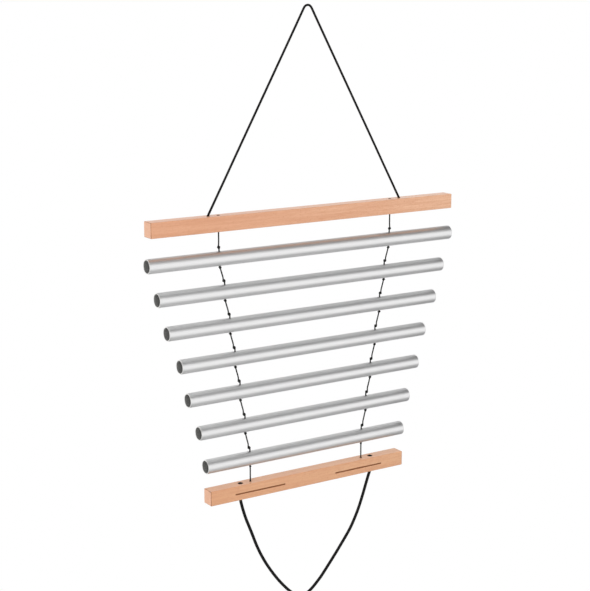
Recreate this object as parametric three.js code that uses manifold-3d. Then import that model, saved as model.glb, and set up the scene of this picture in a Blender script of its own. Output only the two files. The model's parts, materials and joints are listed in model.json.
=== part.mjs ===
// Hanging bar chime: seven aluminium tubes strung like a rope ladder between two beech bars.
// Millimetres, +Z up. X runs along the tubes, +Y points to the back, and the origin is the point
// where a hook carries the hanging cord. At rest everything hangs straight down from there.

import * as THREE from 'three';
import { mergeVertices } from 'three/addons/utils/BufferGeometryUtils.js';
import Module from 'manifold-3d';

const wasm = await Module();
wasm.setup();

// Tubes
const TUBE_DIAMETER = 16;
const TUBE_WALL = 1;
const LONGEST_TUBE = 404;
const SCALE_STEPS = [0, 2, 4, 7, 9, 12, 14]; // semitones above the longest tube, a pentatonic scale
const SEMITONES_PER_OCTAVE = 12;

// Bars
const BAR_WIDTH = 16;
const BAR_HEIGHT = 17;
const BAR_EDGE = 0.9;
const BAR_END_EDGE = 0.8;
const TOP_BAR_LENGTH = 400;
const BOTTOM_BAR_LENGTH = 265;

// Engraved lines on the front of the bottom bar, one on each side of its bare middle
const LINE_WIDTH = 1.8;
const LINE_DEPTH = 0.4;
const LINE_FROM = 35.5;
const LINE_TO = 100.3;
const LINE_BELOW_MIDDLE = 0.8;

// Clear heights that the strings leave between the pieces
const TOP_GAP = 22.5;
const FIRST_RUNG_GAP = 21.6;
const RUNG_GAP_GROWTH = 0.52;
const BOTTOM_GAP = 19.5;

// Ladder strings
const STRING_DIAMETER = 1.6;
const STRING_REACH = 113.8; // from the middle to the holes of the longest tube
const STRING_REACH_STEP = 6.06; // how far the holes come in from each tube to the next
const STRING_LEAN = 0.5; // outwards at a tube's top and inwards at its underside
const STRING_CLEARANCE = 0.7;
const TUBE_KNOT_OVERLAP = 0.2;
const TUBE_TRAVEL = 2.5; // how far a tube can ride up before it meets its upper knots

// Hanging cord and pull cord
const HANGING_DIAMETER = 2.6;
const HANGING_RISE = 221; // from the top bar to the middle of the cord at the hook
const HANGING_OUTSET = 12.2; // from a string's hole in the top bar to the cord's hole
const PULL_DIAMETER = 3.6;
const PULL_OUTSET = 13.2; // from a string's hole in the bottom bar to the cord's hole
const CORD_CLEARANCE = 0.5;
const HANGING_KNOT_PER_CORD = 1.8; // width of the cord's stopper knot, drawn tight in its pocket
const PULL_KNOT_PER_CORD = 1.5;

const POCKET_CLEARANCE = 0.4; // between a stopper knot and the wall of its pocket in a bar
const SEAT_GAP = 0.3; // between a piece and what it rests on

// Left half of the hanging cord, from the bar to the hook: [out from the middle, up from the hook]
const HANGING_ROUTE = [
  [116.6, -200], [105.3, -180], [91.3, -155], [77.2, -130], [63.1, -105], [49, -80], [34.9, -55],
  [20.8, -30], [10.7, -12], [6.8, -5], [4.8, -1.5], [3.5, 0], [1.9, 1],
];

// Pull cord, from its left hole to its right: [right of the middle, up from the bar's underside]
const PULL_ROUTE = [
  [-88.3, -10], [-86, -18], [-83, -27], [-79.4, -36], [-75, -47], [-70, -60], [-64.4, -72.5],
  [-58, -84.5], [-51.2, -95.5], [-44.4, -105.3], [-37.5, -114.3], [-30.5, -122.4], [-23.8, -129.4],
  [-17, -135], [-10.5, -138], [-4, -138.6], [2, -136.8], [8, -132.8], [14, -127.6], [20, -121.8],
  [27, -113.8], [34, -105.5], [41, -97], [48.1, -88.1], [55.5, -78.6], [62.4, -69], [68.3, -58.5],
  [73.4, -48], [77.6, -37.5], [81.4, -27], [84.8, -17], [87.6, -9],
];

// Facets
const TUBE_SIDES = 24;
const HOLE_SIDES = 12;
const CORD_SIDES = 8;
const KNOT_RINGS = 6;
const EDGE_SEGMENTS = 3;
const CORD_STEP = 2.5; // length of one step along a cord, in cord diameters
const MERGE_DISTANCE = 1e-4;

// Sizes that follow from the ones above
const TUBE_RADIUS = TUBE_DIAMETER / 2;
const STRING_HOLE = STRING_DIAMETER + 2 * STRING_CLEARANCE;
const KNOT_RADIUS = STRING_HOLE / 2 + TUBE_KNOT_OVERLAP;
const HANGING_KNOT_RADIUS = HANGING_DIAMETER * HANGING_KNOT_PER_CORD / 2;
const PULL_KNOT_RADIUS = PULL_DIAMETER * PULL_KNOT_PER_CORD / 2;
const UPPER_KNOT_UP = TUBE_RADIUS + TUBE_TRAVEL + SEAT_GAP + KNOT_RADIUS;
const LOWER_KNOT_DOWN = TUBE_RADIUS + SEAT_GAP + KNOT_RADIUS;
const LAST = SCALE_STEPS.length - 1;

// A free tube's pitch goes with the inverse square of its length
const tubeLength = (rung) => LONGEST_TUBE * 2 ** (-SCALE_STEPS[rung] / (2 * SEMITONES_PER_OCTAVE));
const stringReach = (rung) => STRING_REACH - STRING_REACH_STEP * rung;

// The string leans through a tube, so a knot above it lies further out than one below
const leanAt = (height) => STRING_LEAN * height / TUBE_RADIUS;
const upperKnotReach = (rung) => stringReach(rung) + leanAt(UPPER_KNOT_UP);
const lowerKnotReach = (rung) => stringReach(rung) - leanAt(LOWER_KNOT_DOWN);
const TOP_STRING_REACH = upperKnotReach(0);
const BOTTOM_STRING_REACH = lowerKnotReach(LAST);
const HANGING_REACH = TOP_STRING_REACH + HANGING_OUTSET;
const PULL_REACH = BOTTOM_STRING_REACH + PULL_OUTSET;

// Heights of the bars' middles and of the tubes' axes
const TOP_BAR_Z = HANGING_DIAMETER / 2 - HANGING_RISE - BAR_HEIGHT / 2;
const rungGap = (rung) => FIRST_RUNG_GAP + RUNG_GAP_GROWTH * rung;
const TUBE_Z = [TOP_BAR_Z - BAR_HEIGHT / 2 - TOP_GAP - TUBE_RADIUS];
for (let rung = 0; rung < LAST; rung += 1) {
  TUBE_Z.push(TUBE_Z[rung] - TUBE_DIAMETER - rungGap(rung));
}
const BOTTOM_BAR_Z = TUBE_Z[LAST] - TUBE_RADIUS - BOTTOM_GAP - BAR_HEIGHT / 2;

const SIDES = [{ name: 'left', sign: -1 }, { name: 'right', sign: 1 }];

const aluminium = new THREE.MeshStandardMaterial({ color: 0xc9cac9, roughness: 0.32, metalness: 1 });
const beech = new THREE.MeshStandardMaterial({ color: 0xdda680, roughness: 0.6, metalness: 0 });
const blackCord = new THREE.MeshStandardMaterial({ color: 0x1d1c1d, roughness: 0.85, metalness: 0 });
const greyString = new THREE.MeshStandardMaterial({ color: 0x3a3838, roughness: 0.85, metalness: 0 });

// Solids and meshes

function toSolid(geometry) {
  const bare = geometry.clone();
  bare.deleteAttribute('normal');
  bare.deleteAttribute('uv');
  const merged = mergeVertices(bare, MERGE_DISTANCE);
  return new wasm.Manifold(new wasm.Mesh({
    numProp: 3,
    vertProperties: new Float32Array(merged.attributes.position.array),
    triVerts: new Uint32Array(merged.index.array),
  }));
}

function toMesh(name, solid, material) {
  const { vertProperties, triVerts } = solid.getMesh();
  const geometry = new THREE.BufferGeometry();
  geometry.setAttribute('position', new THREE.BufferAttribute(vertProperties, 3));
  geometry.setIndex(new THREE.BufferAttribute(triVerts, 1));
  geometry.computeVertexNormals();
  const mesh = new THREE.Mesh(geometry, material);
  mesh.name = name;
  return mesh;
}

const joinAll = (solids) => solids.reduce((whole, solid) => whole.add(solid));
const cutAll = (solid, cutters) => cutters.reduce((rest, cutter) => rest.subtract(cutter), solid);
const at = (x, z) => new THREE.Vector3(x, 0, z);

// A straight round rod between two points
function rod(from, to, diameter, sides) {
  const along = to.clone().sub(from);
  const geometry = new THREE.CylinderGeometry(diameter / 2, diameter / 2, along.length(), sides);
  const up = new THREE.Vector3(0, 1, 0);
  geometry.applyQuaternion(new THREE.Quaternion().setFromUnitVectors(up, along.normalize()));
  geometry.translate(...from.clone().add(to).multiplyScalar(0.5).toArray());
  return toSolid(geometry);
}

// A round ball: a tight knot, or the rounded end where a cord flexes
function ball(centre, radius) {
  const geometry = new THREE.SphereGeometry(radius, CORD_SIDES, KNOT_RINGS);
  geometry.rotateX(Math.PI / 2);
  geometry.translate(...centre.toArray());
  return toSolid(geometry);
}

// A cord along a smooth route, with rounded ends
function cord(points, diameter) {
  const curve = new THREE.CatmullRomCurve3(points, false, 'centripetal');
  const section = new THREE.Shape();
  for (let corner = 0; corner < CORD_SIDES; corner += 1) {
    const angle = 2 * Math.PI * (corner + 0.5) / CORD_SIDES;
    const x = Math.cos(angle) * diameter / 2;
    const y = Math.sin(angle) * diameter / 2;
    if (corner === 0) {
      section.moveTo(x, y);
    } else {
      section.lineTo(x, y);
    }
  }
  const geometry = new THREE.ExtrudeGeometry(section, {
    steps: Math.round(curve.getLength() / (CORD_STEP * diameter)),
    extrudePath: curve,
  });
  const ends = [points[0], points[points.length - 1]].map((end) => ball(end, diameter / 2));
  return joinAll([toSolid(geometry), ...ends]);
}

// Pieces

// One tube about its own middle, with a string hole through both walls on each side
function makeTube(rung) {
  const inner = TUBE_RADIUS - TUBE_WALL;
  const half = tubeLength(rung) / 2;
  const profile = [[inner, -half], [TUBE_RADIUS, -half], [TUBE_RADIUS, half], [inner, half], [inner, -half]];
  const geometry = new THREE.LatheGeometry(profile.map((point) => new THREE.Vector2(...point)), TUBE_SIDES);
  geometry.rotateZ(Math.PI / 2);
  const holes = SIDES.map(({ sign }) => {
    const x = sign * stringReach(rung);
    return rod(at(x, -TUBE_DIAMETER), at(x, TUBE_DIAMETER), STRING_HOLE, HOLE_SIDES);
  });
  const mesh = toMesh(`tube_${rung + 1}`, cutAll(toSolid(geometry), holes), aluminium);
  mesh.position.z = TUBE_Z[rung];
  return mesh;
}

// A beech bar about its own middle, with all its edges eased
function barBlank(length) {
  const y = BAR_WIDTH / 2 - BAR_EDGE;
  const z = BAR_HEIGHT / 2 - BAR_EDGE;
  const quarter = Math.PI / 2;
  const section = new THREE.Shape();
  section.absarc(y, z, BAR_EDGE, 0, quarter);
  section.absarc(-y, z, BAR_EDGE, quarter, 2 * quarter);
  section.absarc(-y, -z, BAR_EDGE, 2 * quarter, 3 * quarter);
  section.absarc(y, -z, BAR_EDGE, 3 * quarter, 4 * quarter);
  const geometry = new THREE.ExtrudeGeometry(section, {
    depth: length - 2 * BAR_END_EDGE,
    curveSegments: EDGE_SEGMENTS,
    bevelThickness: BAR_END_EDGE,
    bevelSize: BAR_END_EDGE,
    bevelOffset: -BAR_END_EDGE,
    bevelSegments: EDGE_SEGMENTS,
  });
  geometry.translate(0, 0, BAR_END_EDGE - length / 2);
  const alongX = new THREE.Matrix4().makeBasis(
    new THREE.Vector3(0, 1, 0),
    new THREE.Vector3(0, 0, 1),
    new THREE.Vector3(1, 0, 0),
  );
  geometry.applyMatrix4(alongX);
  return toSolid(geometry);
}

// Height of a stopper knot that lies just inside the bar's top (1) or underside (-1)
const stopperHeight = (face, knotRadius) => face * (BAR_HEIGHT / 2 - SEAT_GAP - knotRadius);

// Cutters for a pair of holes, each with a knot pocket in the bar's top (1) or underside (-1)
function pocketedHoles(reach, hole, knotRadius, face) {
  const pocket = 2 * (knotRadius + POCKET_CLEARANCE);
  const floor = stopperHeight(face, knotRadius) - face * (knotRadius + SEAT_GAP);
  return SIDES.flatMap(({ sign }) => {
    const x = sign * reach;
    return [
      rod(at(x, -BAR_HEIGHT), at(x, BAR_HEIGHT), hole, HOLE_SIDES),
      rod(at(x, floor), at(x, face * BAR_HEIGHT), pocket, HOLE_SIDES),
    ];
  });
}

const cordHole = (diameter) => diameter + 2 * CORD_CLEARANCE;

function makeTopBar() {
  const bar = cutAll(barBlank(TOP_BAR_LENGTH), [
    ...pocketedHoles(TOP_STRING_REACH, STRING_HOLE, KNOT_RADIUS, 1),
    ...pocketedHoles(HANGING_REACH, cordHole(HANGING_DIAMETER), HANGING_KNOT_RADIUS, -1),
  ]);
  const mesh = toMesh('top_bar', bar, beech);
  mesh.position.z = TOP_BAR_Z;
  return mesh;
}

function engravedLine(sign) {
  const geometry = new THREE.BoxGeometry(LINE_TO - LINE_FROM, 2 * LINE_DEPTH, LINE_WIDTH);
  geometry.translate(sign * (LINE_FROM + LINE_TO) / 2, -BAR_WIDTH / 2, -LINE_BELOW_MIDDLE);
  return toSolid(geometry);
}

function makeBottomBar() {
  const bar = cutAll(barBlank(BOTTOM_BAR_LENGTH), [
    ...pocketedHoles(BOTTOM_STRING_REACH, STRING_HOLE, KNOT_RADIUS, -1),
    ...pocketedHoles(PULL_REACH, cordHole(PULL_DIAMETER), PULL_KNOT_RADIUS, 1),
    ...SIDES.map(({ sign }) => engravedLine(sign)),
  ]);
  const mesh = toMesh('bottom_bar', bar, beech);
  mesh.position.z = BOTTOM_BAR_Z;
  return mesh;
}

// A stopper knot in its pocket, with the short length of cord through the bar to its other face
function makeStopper(name, x, barZ, face, knotRadius, diameter, material) {
  const knot = at(x, stopperHeight(face, knotRadius));
  const end = at(x, -face * BAR_HEIGHT / 2);
  const solid = joinAll([ball(knot, knotRadius), rod(knot, end, diameter, CORD_SIDES)]);
  const mesh = toMesh(name, solid, material);
  mesh.position.z = barZ;
  return mesh;
}

// Where the string that carries a tube starts: rounded under the top bar, or below the knot above
function stringStart(rung, sign, upperKnot) {
  if (rung === 0) {
    return at(sign * TOP_STRING_REACH, TOP_BAR_Z - BAR_HEIGHT / 2 - SEAT_GAP - STRING_DIAMETER / 2);
  }
  const knotAbove = at(sign * lowerKnotReach(rung - 1), TUBE_Z[rung - 1] - LOWER_KNOT_DOWN);
  const down = upperKnot.clone().sub(knotAbove).normalize();
  return knotAbove.addScaledVector(down, KNOT_RADIUS + SEAT_GAP);
}

// The length of string that carries one side of a tube, with its knots above and below the tube
function makeString(rung, { name, sign }) {
  const upperKnot = at(sign * upperKnotReach(rung), TUBE_Z[rung] + UPPER_KNOT_UP);
  const lowerKnot = at(sign * lowerKnotReach(rung), TUBE_Z[rung] - LOWER_KNOT_DOWN);
  const start = stringStart(rung, sign, upperKnot);
  const parts = [
    rod(start, upperKnot, STRING_DIAMETER, CORD_SIDES),
    ball(upperKnot, KNOT_RADIUS),
    rod(upperKnot, lowerKnot, STRING_DIAMETER, CORD_SIDES),
    ball(lowerKnot, KNOT_RADIUS),
  ];
  if (rung === 0) {
    parts.push(ball(start, STRING_DIAMETER / 2));
  }
  return toMesh(`string_${name}_${rung + 1}`, joinAll(parts), greyString);
}

// The last length of string, from the knot under the shortest tube to its end knot in the bottom bar
function makeStringTail({ name, sign }) {
  const x = sign * BOTTOM_STRING_REACH;
  const start = at(x, TUBE_Z[LAST] - LOWER_KNOT_DOWN - KNOT_RADIUS - SEAT_GAP);
  const knot = at(x, BOTTOM_BAR_Z + stopperHeight(-1, KNOT_RADIUS));
  const parts = [rod(start, knot, STRING_DIAMETER, CORD_SIDES), ball(knot, KNOT_RADIUS)];
  return toMesh(`string_${name}_tail`, joinAll(parts), greyString);
}

function makeHangingCord() {
  const footZ = TOP_BAR_Z + BAR_HEIGHT / 2 + SEAT_GAP + HANGING_DIAMETER / 2;
  const left = [[HANGING_REACH, footZ], ...HANGING_ROUTE].map(([out, up]) => at(-out, up));
  const hook = at(0, HANGING_DIAMETER / 2);
  const right = left.map(({ x, z }) => at(-x, z)).reverse();
  return toMesh('hanging_cord', cord([...left, hook, ...right], HANGING_DIAMETER), blackCord);
}

function makePullCord() {
  const exitZ = -SEAT_GAP - PULL_DIAMETER / 2;
  const route = [[-PULL_REACH, exitZ], ...PULL_ROUTE, [PULL_REACH, exitZ]].map(([x, z]) => at(x, z));
  const mesh = toMesh('pull_cord', cord(route, PULL_DIAMETER), blackCord);
  mesh.position.z = BOTTOM_BAR_Z - BAR_HEIGHT / 2;
  return mesh;
}

// Assembly

const chime = new THREE.Group();
chime.add(makeHangingCord(), makeTopBar());
for (const { name, sign } of SIDES) {
  chime.add(
    makeStopper(
      `hanging_knot_${name}`,
      sign * HANGING_REACH,
      TOP_BAR_Z,
      -1,
      HANGING_KNOT_RADIUS,
      HANGING_DIAMETER,
      blackCord,
    ),
    makeStopper(
      `string_anchor_${name}`,
      sign * TOP_STRING_REACH,
      TOP_BAR_Z,
      1,
      KNOT_RADIUS,
      STRING_DIAMETER,
      greyString,
    ),
  );
}
for (let rung = 0; rung <= LAST; rung += 1) {
  chime.add(makeTube(rung), ...SIDES.map((side) => makeString(rung, side)));
}
chime.add(makeBottomBar(), ...SIDES.map((side) => makeStringTail(side)));
for (const { name, sign } of SIDES) {
  chime.add(
    makeStopper(
      `pull_knot_${name}`,
      sign * PULL_REACH,
      BOTTOM_BAR_Z,
      1,
      PULL_KNOT_RADIUS,
      PULL_DIAMETER,
      blackCord,
    ),
  );
}
chime.add(makePullCord());

export default chime;
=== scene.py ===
"""The looks of a bar chime: seven aluminium tubes strung like a rope ladder between two beech bars."""

import json
import math
from collections import namedtuple

import bmesh
import bpy
from bpy.props import FloatProperty, FloatVectorProperty, PointerProperty
from mathutils import Matrix, Quaternion, Vector


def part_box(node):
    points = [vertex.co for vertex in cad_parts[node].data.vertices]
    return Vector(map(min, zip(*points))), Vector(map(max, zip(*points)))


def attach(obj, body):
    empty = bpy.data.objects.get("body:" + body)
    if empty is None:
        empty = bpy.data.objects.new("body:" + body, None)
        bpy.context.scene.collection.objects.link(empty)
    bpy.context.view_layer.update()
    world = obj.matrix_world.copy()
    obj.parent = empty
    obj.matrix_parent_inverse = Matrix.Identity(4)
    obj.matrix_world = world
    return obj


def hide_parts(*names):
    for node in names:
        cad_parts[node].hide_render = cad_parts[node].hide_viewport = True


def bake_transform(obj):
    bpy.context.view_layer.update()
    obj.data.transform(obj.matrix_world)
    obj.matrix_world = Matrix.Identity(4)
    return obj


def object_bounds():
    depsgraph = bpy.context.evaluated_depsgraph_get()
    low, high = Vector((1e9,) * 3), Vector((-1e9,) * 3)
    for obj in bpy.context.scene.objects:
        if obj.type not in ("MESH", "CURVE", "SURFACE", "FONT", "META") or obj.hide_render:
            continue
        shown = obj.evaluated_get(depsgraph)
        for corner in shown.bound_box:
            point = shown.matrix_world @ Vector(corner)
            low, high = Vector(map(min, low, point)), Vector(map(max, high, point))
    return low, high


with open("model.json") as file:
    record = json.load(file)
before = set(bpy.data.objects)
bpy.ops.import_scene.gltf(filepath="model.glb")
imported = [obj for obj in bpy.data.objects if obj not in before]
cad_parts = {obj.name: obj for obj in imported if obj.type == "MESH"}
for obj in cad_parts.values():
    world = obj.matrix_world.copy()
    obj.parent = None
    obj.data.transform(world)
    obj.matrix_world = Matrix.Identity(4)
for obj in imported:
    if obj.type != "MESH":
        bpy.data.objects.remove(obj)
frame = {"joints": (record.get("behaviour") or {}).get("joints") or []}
cad_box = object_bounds()

bl_info = {
    "name": "Bar Chime",
    "version": (1, 0, 0),
    "blender": (4, 5, 0),
    "location": "View3D > Sidebar > Bar Chime",
    "description": "Builds a hanging chime of seven tubes between two beech bars",
    "category": "Add Mesh",
}

MM = 0.001
SIDES = {"left": -1, "right": 1}
TUBE_COUNT = 7

# Places that the solids have inside, in millimetres: where strings and cords cross the tubes and bars
STRING_REACH = 113.8
STRING_REACH_STEP = 6.06
STRING_LEAN = 0.0625
TOP_STRING_REACH = 114.58
BOTTOM_STRING_REACH = 76.815
HANGING_REACH = 126.78
PULL_REACH = 90.015
UPPER_KNOT_RISE = 12.5
LOWER_KNOT_DROP = 9.8

# Stepped holes in the bars: the hole, the pocket that takes a knot and the pocket's depth, in millimetres
Drill = namedtuple("Drill", "hole pocket depth")
STRING_DRILL = Drill(hole=3.0, pocket=4.2, depth=4.0)
HANGING_DRILL = Drill(hole=3.6, pocket=5.48, depth=5.28)
PULL_DRILL = Drill(hole=4.6, pocket=6.2, depth=6.0)
MOUTH_EASE = 0.1
# The tube's mesh has a ring of corners this far to each side of a hole, in millimetres
HOLE_MARGIN = 4.0
# Corners closer than this on a cut edge are one corner, in millimetres
WELD = 0.001

# Faces round a tube, a drill in a bar and a drill in a tube
TUBE_SIDES = 96
DRILL_SIDES = 48
TUBE_DRILL_SIDES = 32
# Faces across a bar's rounded long edges, and across the edges round its ends
BAR_EDGE_STEPS = 8
BAR_END_STEPS = 6
# Faces that meet at a wider angle than this keep a sharp corner
CREASE = math.radians(32)

# Material slots on a tube, and on a bar
SKIN, RIM, BORE = range(3)
# A bar's last slot is painted shade on the rounded edges round its ends
LONG_GRAIN, END_GRAIN, SCORCH_AND_POCKET_SHADE, PAINTED_EDGE_SHADE = range(4)
# How far along X a face looks on a tube's rim, on a bar's end, and on the rounded edge round that end
RIM_FACING = 0.5
END_FACING = 0.95
EDGE_FACING = 0.3
# How far a bar's end and the edge round it reach along the bar, in millimetres
END_ZONE = 2.0

# The engraved lines on the bottom bar's front, in millimetres
LINE_FROM = 35.5
LINE_TO = 100.3
LINE_BELOW_MIDDLE = 0.8
LINE_ROUNDING = 1.0

# The hanging cord's left half, as distances out from its bend and heights above the hook, in millimetres
HANGING_ROUTE = [
    (127.3, -219.0), (116.6, -200), (105.3, -180), (91.3, -155), (77.2, -130), (63.1, -105),
    (49, -80), (34.9, -55), (20.8, -30), (10.7, -12), (6.8, -5), (4.8, -1.5), (3.5, 0), (1.9, 1),
]
HANGING_BEND_HEIGHT = 1.3

# The slack pull cord from left to right: places along the bar and heights over its underside, in mm
PULL_ROUTE = [
    (-90.015, -2.1), (-88.3, -10), (-86, -18), (-83, -27), (-79.4, -36), (-75, -47), (-70, -60),
    (-64.4, -72.5), (-58, -84.5), (-51.2, -95.5), (-44.4, -105.3), (-37.5, -114.3), (-30.5, -122.4),
    (-23.8, -129.4), (-17, -135), (-10.5, -138), (-4, -138.6), (2, -136.8), (8, -132.8),
    (14, -127.6), (20, -121.8), (27, -113.8), (34, -105.5), (41, -97), (48.1, -88.1), (55.5, -78.6),
    (62.4, -69), (68.3, -58.5), (73.4, -48), (77.6, -37.5), (81.4, -27), (84.8, -17), (87.6, -9),
    (90.015, -2.1),
]
# How far a cord's or string's end is drawn on into the bar or knot that holds it, in millimetres
TUCK = 5.0
HANGING_TUCK = 3.0

# Braids: yarns each way, length of a yarn's crossing in millimetres, and depth as a share of the radius
Braid = namedtuple("Braid", "yarns crossing depth")
STRING_BRAID = Braid(yarns=4, crossing=0.8, depth=0.1)
CORD_BRAID = Braid(yarns=7, crossing=1.25, depth=0.16)
# Distance between a braid's rings of corners, and width of the fibre bundles that shade it, in millimetres
STRING_STEP = 0.25
CORD_STEP = 0.36
STRING_FIBRE = 0.3
CORD_FIBRE = 0.4

# Tied knots: width and height in millimetres, and turns of the string round the core
Knot = namedtuple("Knot", "width height wraps")
UPPER_KNOT = Knot(width=3.8, height=2.4, wraps=2.0)
LOWER_KNOT = Knot(width=3.7, height=1.8, wraps=1.25)
LAST_KNOT = Knot(width=2.8, height=1.3, wraps=1.25)
END_KNOT = Knot(width=4.0, height=1.0, wraps=2.0)
# How much narrower a knot is at its ends than in the middle, for a round knot and one pressed flat
ROUND_TAPER = 0.4
FLAT_TAPER = 0.1
# How far knots are turned at most, the step in that from rung to rung, and how far they lean, in radians
KNOT_TURN = 0.6
KNOT_TURN_STEP = 7
KNOT_LEAN = 0.5
# How deep the string's end knots sit in the bars, and where the upper end stops inside, in millimetres
TOP_END_SINK = 0.8
BOTTOM_END_SINK = 1.3
TOP_END_RUN = 2.0
TOP_END_STOP = 1.0

# The cords' stopper knots: width, depth in the pocket and straight cord beyond the pocket, in millimetres
HANGING_STOPPER = 5.2
PULL_STOPPER = 6.1
STOPPER_SINK = 1.2
STOPPER_STEM = 4.0
# A stopper's turns, its height in cord diameters, and how far its cord is squeezed
STOPPER_WRAPS = 1.75
STOPPER_HEIGHT = 0.25
STOPPER_SQUEEZE = 0.9

# A Mix node has several sockets of one name, so its two colours and its mixed colour go by number
MIX_A = 6
MIX_B = 7
MIX_RESULT = 2

# The floor's colour, its radius and its drop below the chime, in metres
PALE_FLOOR = "#F2F2F2"
FLOOR_RADIUS = 30.0
FLOOR_DROP = 0.25
# How far a card lies above the floor, in metres
CARD_LIFT = 0.01
# Reach of the floor that shows the chime's shadow, and where it has turned white to the eye, in metres
SHADOW_REACH = 0.3
WHITE_REACH = 0.55


def linear(hex_colour):
    """An sRGB hex colour as linear red, green, blue and full alpha."""
    channels = [int(hex_colour[i : i + 2], 16) / 255 for i in (1, 3, 5)]
    lit = [c / 12.92 if c <= 0.04045 else ((c + 0.055) / 1.055) ** 2.4 for c in channels]
    return (*lit, 1.0)


def length_setting(name, description, millimetres):
    """A length that the sidebar can change."""
    return FloatProperty(name=name, description=description, default=millimetres * MM, min=0.0,
                         subtype="DISTANCE", unit="LENGTH", precision=5)


def colour_setting(name, description, hex_colour):
    """A colour that the sidebar can change."""
    return FloatVectorProperty(name=name, description=description, size=4, subtype="COLOR",
                               min=0.0, max=1.0, default=linear(hex_colour))


class ChimeSizes(bpy.types.PropertyGroup):
    """Sizes of the fine shapes that the solids leave plain."""

    tube_wall: length_setting("Tube wall", "Thickness of the tube's wall", 1.0)
    tube_edge: length_setting("Tube edge", "Radius of a tube's outer edge where the burr was taken off", 0.6)
    tube_ease: length_setting("Tube ease", "Chamfer inside a tube's ends", 0.2)
    bar_edge: length_setting("Bar edge", "Radius of a bar's long edges", 0.9)
    bar_end_edge: length_setting("Bar end edge", "Radius round a bar's ends", 0.8)
    line_width: length_setting("Line width", "Width of the engraved lines", 1.8)
    line_depth: length_setting("Line depth", "Depth of the engraved lines", 0.4)
    string: length_setting("String", "Diameter of the ladder strings", 1.6)
    hanging_cord: length_setting("Hanging cord", "Diameter of the hanging cord", 2.6)
    pull_cord: length_setting("Pull cord", "Diameter of the pull cord", 3.6)


class ChimeColours(bpy.types.PropertyGroup):
    """Colours of the chime's finishes."""

    aluminium: colour_setting("Aluminium", "Satin anodised tube", "#F3F3F3")
    oxide: colour_setting("Oxide", "Anodised skin seen at a slant, which takes up light", "#808080")
    sawn_aluminium: colour_setting("Sawn aluminium", "Bare metal of the tube ends", "#F2F1EF")
    bore: colour_setting("Bore", "Dull metal inside the tubes", "#989896")
    beech: colour_setting("Beech", "Steamed beech between its darker streaks", "#E2A883")
    # The two pale colours are painted light: each bar is drawn paler towards its right end, where its front
    # is seen at a slant
    painted_light_beech: colour_setting("Pale beech", "Younger wood towards the top bar's right end", "#F2C29E")
    golden_beech: colour_setting("Golden beech", "The bottom bar, which is from another board", "#E1A97C")
    painted_light_golden_beech: colour_setting("Pale golden beech", "The bottom bar towards its right end", "#E8B78C")
    beech_streak: colour_setting("Beech streak", "Late wood and flecks", "#D19068")
    end_grain: colour_setting("End grain", "Sawn ends of the bars", "#E4B599")
    # This brown is also painted shade: on the walls of the drilled holes, and as the streaks of the painted
    # edge shade
    scorch_and_shade_brown: colour_setting("Scorch", "Burnt floor of the engraved lines", "#6E4020")
    black_cord: colour_setting("Black cord", "Hanging cord and pull cord", "#191818")
    grey_string: colour_setting("Grey string", "Ladder strings", "#201F1F")


class ChimeStage(bpy.types.PropertyGroup):
    """The view and the studio light."""

    lens: FloatProperty(name="Lens", description="Focal length on a 36 mm frame",
                        default=86.31, unit="CAMERA")
    place: FloatVectorProperty(name="Camera place", description="Where the camera stands",
                               default=(-0.8618, -1.3125, 0.0181), subtype="TRANSLATION", unit="LENGTH")
    turn: FloatProperty(name="Camera turn", description="How far the view is turned to the right",
                        default=math.radians(32.784), subtype="ANGLE")
    dip: FloatProperty(name="Camera dip", description="How far the view is tipped down",
                       default=math.radians(12.203), subtype="ANGLE")
    ambient: FloatProperty(name="Ambient", description="Light from all round", default=0.7)
    key: FloatProperty(name="Key light", description="Soft lamp at the left", default=25.0, unit="POWER")
    top: FloatProperty(name="Top light", description="Soft lamp overhead", default=10.0, unit="POWER")


# Materials


def node(tree, kind, inputs=None, **settings):
    """Adds a node: sets its attributes, and sets or links its named inputs."""
    made = tree.nodes.new(kind)
    for key, value in settings.items():
        setattr(made, key, value)
    for key, value in (inputs or {}).items():
        if isinstance(value, bpy.types.NodeSocket):
            tree.links.new(value, made.inputs[key])
        else:
            made.inputs[key].default_value = value
    return made


def new_material(name):
    """An empty node material and its tree."""
    material = bpy.data.materials.new(name)
    material.use_nodes = True
    material.node_tree.nodes.clear()
    return material, material.node_tree


def surfaced(material, shader):
    """The material, with this shader as its surface."""
    node(material.node_tree, "ShaderNodeOutputMaterial", {"Surface": shader.outputs[0]})
    return material


def stretched(tree, along_mm, across_mm):
    """Coordinates in which a pattern is along_mm long on X and across_mm wide on Y and Z."""
    coords = node(tree, "ShaderNodeTexCoord")
    scale = (1 / (along_mm * MM), 1 / (across_mm * MM), 1 / (across_mm * MM))
    return node(tree, "ShaderNodeMapping", {"Vector": coords.outputs["Object"], "Scale": scale}).outputs[0]


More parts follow.
